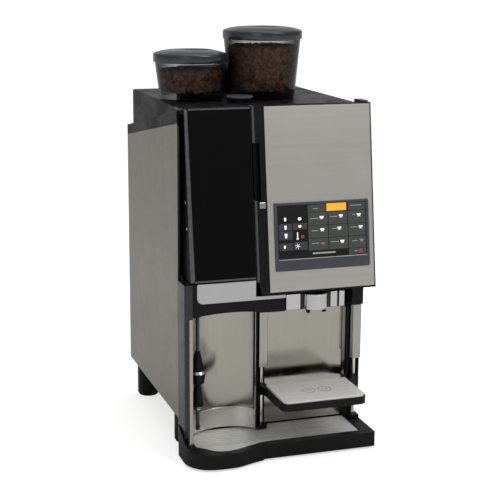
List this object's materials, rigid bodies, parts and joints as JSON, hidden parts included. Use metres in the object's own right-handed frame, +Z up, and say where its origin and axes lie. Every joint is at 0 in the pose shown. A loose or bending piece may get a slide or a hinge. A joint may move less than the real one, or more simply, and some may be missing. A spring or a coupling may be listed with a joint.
{
  "type": "hot coffee vending machine",
  "caption": "Counter-top bean-to-cup coffee machine with leaning doors, touch screen, bean hoppers, steam wand bay, cup shelf and drip tray.",
  "frame": {"origin": "centre of the overall box, on the surface that the feet stand on", "axes": "+Z up, front with the doors and drip tray towards -Y, +X to the right seen from the front"},
  "size_m": [0.38, 0.515, 0.806],
  "materials": {
    "side_steel": "vertical brushed grain",
    "door_steel": "horizontal brushed grain",
    "splash_steel": "fine brushed, nearly mirror",
    "plate_steel": "brushed along the width",
    "polished_steel": "polished",
    "chrome": "bright chrome",
    "frame_black": "satin moulded",
    "deck_black": "fine moulded texture",
    "light_grey": "satin",
    "trim_grey": "satin",
    "gloss_black": "gloss",
    "bezel_grey": "satin",
    "screen_glass": "gloss glass",
    "smoke_clear": "clear smoke tint",
    "lid_charcoal": "satin",
    "coffee_beans": "oily roast",
    "dark_steel": "black coated",
    "motor_metal": "cast",
    "jacket_grey": "foam jacket",
    "circuit_board": "lacquered",
    "brass": "machined"
  },
  "bodies": {
    "cabinet": {"base_pan": "side_steel", "bay_hood": "frame_black", "bay_wall": "frame_black", "boilers": "jacket_grey", "brew_chamber": "frame_black", "column_trim": "splash_steel", "control_board": "circuit_board", "deck_collars": "deck_black", "door_hinges": "dark_steel", "frame_posts": "side_steel", "front_bulkhead": "frame_black", "grinder_housings": "frame_black", "grinder_motors": "motor_metal", "grounds_bin": "side_steel", "left_front_column": "frame_black", "left_side_panel": "side_steel", "legs": "frame_black", "light_panel": "light_grey", "rail_channels": "frame_black", "rail_covers": "splash_steel", "rail_rods": "polished_steel", "rear_housing": "deck_black", "rear_panel": "side_steel", "rear_panel_screws": "dark_steel", "rear_splash": "splash_steel", "right_side_panel": "side_steel", "shoulder_rails": "deck_black", "splash_base": "polished_steel", "splash_shield": "splash_steel", "spout_cover": "chrome", "spout_nozzles": "frame_black", "top_cover": "deck_black", "water_fittings": "brass", "water_pump": "motor_metal"},
    "door_steel_body": {"steel_door_frame": "frame_black", "steel_door_skin": "door_steel", "centre_trim": "trim_grey", "screen_bezel": "bezel_grey", "screen_glass": "screen_glass"},
    "door_catch_body": {"door_catch": "chrome"},
    "door_black_body": {"black_door_frame": "frame_black", "black_door_glass": "gloss_black", "black_door_trims": "trim_grey"},
    "cup_shelf": {"shelf_carriage": "frame_black", "shelf_plate": "plate_steel"},
    "tray": {"drip_tray": "frame_black", "tray_grate": "plate_steel"},
    "hopper_left": {"left_hopper": "smoke_clear", "left_beans": "coffee_beans"},
    "lid_left": {"left_hopper_lid": "lid_charcoal"},
    "hopper_right": {"right_hopper": "smoke_clear", "right_beans": "coffee_beans"},
    "lid_right": {"right_hopper_lid": "lid_charcoal"},
    "cap": {"chute_cap": "light_grey"},
    "wand": {"steam_wand": "dark_steel", "wand_grip": "frame_black", "wand_rings": "chrome"},
    "burr_left": {"left_burr": "polished_steel"},
    "burr_right": {"right_burr": "polished_steel"},
    "piston": {"brew_piston": "polished_steel"}
  },
  "joints": [
    {"name": "steel_door_hinge", "type": "hinge", "parent": "cabinet", "child": "door_steel_body", "pos_m": [0.183, -0.1325, 0.498], "axis": [0, 0, 1], "range_deg": [0, 100]},
    {"name": "black_door_hinge", "type": "hinge", "parent": "cabinet", "child": "door_black_body", "pos_m": [-0.181, -0.1445, 0.513], "axis": [0, 0, -1], "range_deg": [0, 100]},
    {"name": "door_catch_press", "type": "slide", "parent": "door_steel_body", "child": "door_catch_body", "axis": [0, 1, 0], "range_m": [0, 0.0025], "stiffness_N_per_m": 400},
    {"name": "cup_shelf_height", "type": "slide", "parent": "cabinet", "child": "cup_shelf", "axis": [0, 0, 1], "range_m": [-0.05, 0.035]},
    {"name": "drip_tray_slide", "type": "slide", "parent": "cabinet", "child": "tray", "axis": [0, -1, 0], "range_m": [0, 0.13]},
    {"name": "left_hopper_lift", "type": "slide", "parent": "cabinet", "child": "hopper_left", "axis": [0, 0, 1], "range_m": [0, 0.1]},
    {"name": "left_lid_lift", "type": "slide", "parent": "hopper_left", "child": "lid_left", "axis": [0, 0, 1], "range_m": [0, 0.06]},
    {"name": "right_hopper_lift", "type": "slide", "parent": "cabinet", "child": "hopper_right", "axis": [0, 0, 1], "range_m": [0, 0.1]},
    {"name": "right_lid_lift", "type": "slide", "parent": "hopper_right", "child": "lid_right", "axis": [0, 0, 1], "range_m": [0, 0.06]},
    {"name": "chute_cap_lift", "type": "slide", "parent": "cabinet", "child": "cap", "axis": [0, 0, 1], "range_m": [0, 0.02]},
    {"name": "steam_wand_swing", "type": "hinge", "parent": "cabinet", "child": "wand", "pos_m": [-0.154, -0.1525, 0.281], "axis": [-1, 0, 0], "range_deg": [0, 30]},
    {"name": "left_burr_spin", "type": "hinge", "parent": "cabinet", "child": "burr_left", "pos_m": [-0.1115, 0.0355, 0.6], "axis": [0, 0, 1], "continuous": true},
    {"name": "right_burr_spin", "type": "hinge", "parent": "cabinet", "child": "burr_right", "pos_m": [0.032, 0.0315, 0.6], "axis": [0, 0, 1], "continuous": true},
    {"name": "brew_piston_stroke", "type": "slide", "parent": "cabinet", "child": "piston", "axis": [0, 0, 1], "range_m": [0, 0.018]}
  ]
}
